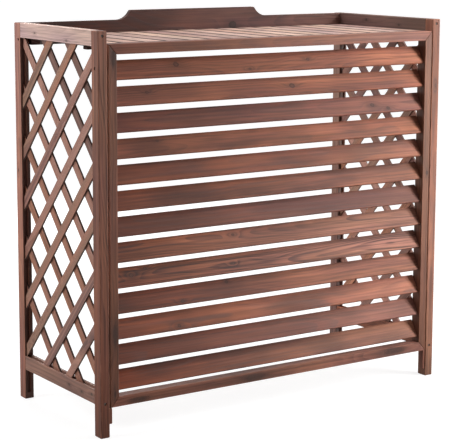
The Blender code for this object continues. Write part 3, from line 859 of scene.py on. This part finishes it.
def screw_thread(start, length):
    """A shank whose rows wind round it, so that the crest is one running helix."""
    shape = bmesh.new()
    radii = (THREAD_ROOT, THREAD_CREST, THREAD_ROOT)
    turns = int(length / THREAD_PITCH)
    end = start + turns * THREAD_PITCH
    rows = []
    for row in range(turns * len(radii) + 1):
        ring = []
        for step in range(TURN_SIDES):
            angle = math.tau * step / TURN_SIDES
            z = start + (row / len(radii) + step / TURN_SIDES) * THREAD_PITCH
            taper = min(1.0, max(POINT_SHARE, (end - z) / SCREW_POINT))
            radius = radii[row % len(radii)] * taper
            ring.append(shape.verts.new((radius * math.cos(angle), radius * math.sin(angle), z)))
        rows.append(ring)
    last = len(rows) - 1
    for row in range(last):
        for step in range(TURN_SIDES - 1):
            shape.faces.new((rows[row][step], rows[row][step + 1],
                             rows[row + 1][step + 1], rows[row + 1][step]))
        if row + 1 + len(radii) <= last:
            shape.faces.new((rows[row][-1], rows[row + len(radii)][0],
                             rows[row + len(radii) + 1][0], rows[row + 1][-1]))
    boundary = [e for e in shape.edges if e.is_boundary]
    bmesh.ops.holes_fill(shape, edges=boundary)
    return shape


def screw_head():
    """A flat-topped countersunk head, turned about +Z, with its top at 0."""
    head = bmesh.new()
    profile = [
        (0.0, 0.0), (SCREW_HEAD_RADIUS * HEAD_FLAT_SHARE, 0.0), (SCREW_HEAD_RADIUS, HEAD_RIM[0]),
        (SCREW_HEAD_RADIUS, HEAD_RIM[1]), (THREAD_ROOT * HEAD_NECK_SHARE, SCREW_HEAD_HEIGHT),
        (0.0, SCREW_HEAD_HEIGHT),
    ]
    points = [head.verts.new((radius, 0, z)) for radius, z in profile]
    edges = [head.edges.new(pair) for pair in zip(points, points[1:])]
    bmesh.ops.spin(
        head, geom=points + edges, cent=(0, 0, 0), axis=(0, 0, 1), angle=math.tau,
        steps=2 * TURN_SIDES, use_merge=True)
    bmesh.ops.remove_doubles(head, verts=head.verts, dist=SAME_POINT)
    bmesh.ops.recalc_face_normals(head, faces=head.faces)
    return head


def cut_slot(blank, turn):
    """Cuts one slot of the cross, which narrows towards its floor, into a screw's head."""
    slot = bmesh.new()
    bmesh.ops.create_cube(slot, size=2.0)
    for vert in slot.verts:
        at_mouth = vert.co.z < 0
        reach, breadth = RECESS_MOUTH if at_mouth else RECESS_FLOOR
        depth = -RECESS_OVERRUN if at_mouth else RECESS_DEPTH
        vert.co = (vert.co.x * reach / 2, vert.co.y * breadth / 2, depth)
    bmesh.ops.rotate(slot, verts=slot.verts, cent=(0, 0, 0), matrix=Matrix.Rotation(turn, 3, "Z"))
    bmesh.ops.recalc_face_normals(slot, faces=slot.faces)
    cutter = new_object(blank.name + "_slot", mesh_from(blank.name + "_slot", slot))
    cut = blank.modifiers.new("recess", "BOOLEAN")
    cut.operation, cut.solver, cut.object = "DIFFERENCE", "EXACT", cutter
    bpy.context.view_layer.update()
    graph = bpy.context.evaluated_depsgraph_get()
    carved = bpy.data.meshes.new_from_object(blank.evaluated_get(graph))
    blank.modifiers.clear()
    blank.data = carved
    bpy.data.objects.remove(cutter)


def screw_mesh(name, length, material):
    """A flat-topped head with a cross recess, over a threaded shank. It points along +Z."""
    blank = new_object(name + "_head", mesh_from(name + "_head", screw_head()))
    for turn in (0.0, math.pi / 2):
        cut_slot(blank, turn)
    whole = bmesh.new()
    whole.from_mesh(blank.data)
    bpy.data.objects.remove(blank)
    shank = screw_thread(SCREW_HEAD_HEIGHT - 0.5 * THREAD_PITCH, length + 0.5 * THREAD_PITCH)
    whole.from_mesh(mesh_from(name + "_shank", shank))
    bmesh.ops.recalc_face_normals(whole, faces=whole.faces)
    made = mesh_from(name, whole)
    made.shade_smooth()
    made.set_sharp_from_angle(angle=SHARP_ANGLE)
    made.materials.clear()
    made.materials.append(material)
    return made


def place_screw(name, mesh, head, direction, replaced=None):
    piece = new_object(name, mesh)
    turn = Vector(direction).to_track_quat("Z", "Y").to_matrix()
    twist = Matrix.Rotation(random.Random(name).uniform(0, math.pi / 2), 3, "Z")
    piece.matrix_world = Matrix.Translation(head) @ (turn @ twist).to_4x4()
    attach(piece, "root")
    if replaced:
        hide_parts(replaced)


screw_steel = steel_material("screw_steel", (0.22, 0.20, 0.18), 0.34)
long_mesh = screw_mesh("long_screw", LONG_SCREW, screw_steel)
short_mesh = screw_mesh("short_screw", SHORT_SCREW, screw_steel)

for side_name, sign in SIDES:
    for level in ("top", "lower"):
        node = f"front_{side_name}_{level}_screw"
        low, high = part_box(node)
        middle = (low + high) / 2
        place_screw(node + "_threaded", long_mesh, (middle.x, low.y, middle.z), (0, 1, 0), node)
        rear_head = (middle.x, HALF_DEPTH - SCREW_HEAD_DEPTH, middle.z)
        place_screw(f"rear_{side_name}_{level}_screw", long_mesh, rear_head, (0, -1, 0))
    for use in ("panel", "board"):
        node = f"{side_name}_{use}_screw"
        low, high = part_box(node)
        middle = (low + high) / 2
        head = (low.x if sign < 0 else high.x, middle.y, middle.z)
        place_screw(node + "_threaded", short_mesh, head, (-sign, 0, 0), node)


# Floor, light and camera

FLOOR_REACH = 30.0
FLOOR_LEVEL = -0.0004
PAPER_TONES = ((0.33, 0.33, 0.33), (0.35, 0.35, 0.35))
PAPER_GRAIN = (60.0, 60.0, 60.0)
FLOOR_GLOW = (0.7, 4.0, 0.79, 1.0)
SKY_STRENGTH = 0.055

# Name, place, aim, size and power
LAMPS = (
    ("key", (1.15, -0.97, 0.85), (0.4, 0, 0.45), (0.45, 1.7), 33.5),
    ("front", (0.9, -2.2, 2.6), (0, 0, 0.4), (1.6, 1.2), 9.0),
    ("left", (-2.5, 0.6, 1.7), (-0.4, 0, 0.5), (1.6, 1.6), 48.0),
    ("top", (0.2, 0.5, 2.8), (0, 0, 0.8), (2.0, 1.0), 34.0),
    ("rear", (0.2, 2.7, 0.8), (0, 0.2, 0.5), (1.6, 0.8), 36.0),
)


def seen_ray(kit):
    """1 for rays from the camera, or that metal or glass passes on, and 0 for the light itself."""
    path = kit.add("ShaderNodeLightPath")
    seen = kit.math("MAXIMUM", path.outputs["Is Camera Ray"], path.outputs["Is Glossy Ray"])
    return kit.math("MAXIMUM", seen, path.outputs["Is Transmission Ray"])


def make_floor():
    """Pale paper that shows white far from the part and keeps the part's shadow."""
    mesh = bpy.data.meshes.new("floor")
    corners = [(x, y, FLOOR_LEVEL) for x, y in (
        (-FLOOR_REACH, -FLOOR_REACH), (FLOOR_REACH, -FLOOR_REACH), (FLOOR_REACH, FLOOR_REACH),
        (-FLOOR_REACH, FLOOR_REACH))]
    mesh.from_pydata(corners, [], [(0, 1, 2, 3)])
    floor = new_object("floor", mesh)
    made, kit = new_material("floor_paper")
    place = kit.add("ShaderNodeTexCoord").outputs["Object"]
    grain = kit.smooth(kit.noise(place, PAPER_GRAIN, 0.0), 0.3, 0.7)
    matt = kit.add("ShaderNodeBsdfDiffuse")
    kit.put(matt.inputs["Color"], kit.mix(grain, *PAPER_TONES))
    glow = kit.add("ShaderNodeEmission")
    kit.put(glow.inputs["Color"], WHITE)
    away = kit.smooth(kit.vector("LENGTH", place), *FLOOR_GLOW)
    kit.put(glow.inputs["Strength"], kit.math("MULTIPLY", seen_ray(kit), away))
    both = kit.add("ShaderNodeAddShader")
    kit.put(both.inputs[0], matt.outputs[0])
    kit.put(both.inputs[1], glow.outputs[0])
    output = kit.add("ShaderNodeOutputMaterial")
    kit.put(output.inputs["Surface"], both.outputs[0])
    mesh.materials.append(made)


def make_world():
    """A white backdrop for the camera, and a weak even light for the part."""
    world = bpy.data.worlds.new("studio")
    bpy.context.scene.world = world
    world.use_nodes = True
    world.node_tree.nodes.clear()
    kit = Nodes(world.node_tree)
    both = kit.add("ShaderNodeMixShader")
    kit.put(both.inputs[0], seen_ray(kit))
    for socket, strength in zip(both.inputs[1:], (SKY_STRENGTH, 1.0)):
        background = kit.add("ShaderNodeBackground")
        kit.put(background.inputs["Color"], WHITE)
        kit.put(background.inputs["Strength"], strength)
        kit.put(socket, background.outputs[0])
    output = kit.add("ShaderNodeOutputWorld")
    kit.put(output.inputs["Surface"], both.outputs[0])


def make_lamp(name, place, aim, size, power):
    light = bpy.data.lights.new(name, "AREA")
    light.shape = "RECTANGLE"
    light.size, light.size_y = size
    light.energy = power
    lamp = new_object(name, light)
    lamp.location = place
    lamp.rotation_euler = (Vector(aim) - Vector(place)).to_track_quat("-Z", "Y").to_euler()


def make_camera():
    camera = bpy.data.cameras.new("camera")
    camera.sensor_width = SENSOR
    camera.lens = FOCAL_PIXELS / IMAGE_WIDTH * SENSOR
    camera.shift_x, camera.shift_y = CAMERA_SHIFT
    camera.clip_end = CAMERA_REACH
    holder = new_object("camera", camera)
    turn = Euler((math.pi / 2 - CAMERA_DOWN, 0, CAMERA_TURN)).to_matrix()
    turn = turn @ Matrix.Rotation(CAMERA_ROLL, 3, "Z")
    holder.matrix_world = Matrix.Translation(CAMERA_PLACE) @ turn.to_4x4()
    bpy.context.scene.camera = holder


make_floor()
make_world()
for lamp in LAMPS:
    make_lamp(*lamp)
make_camera()
bpy.context.scene.view_settings.view_transform = "Standard"
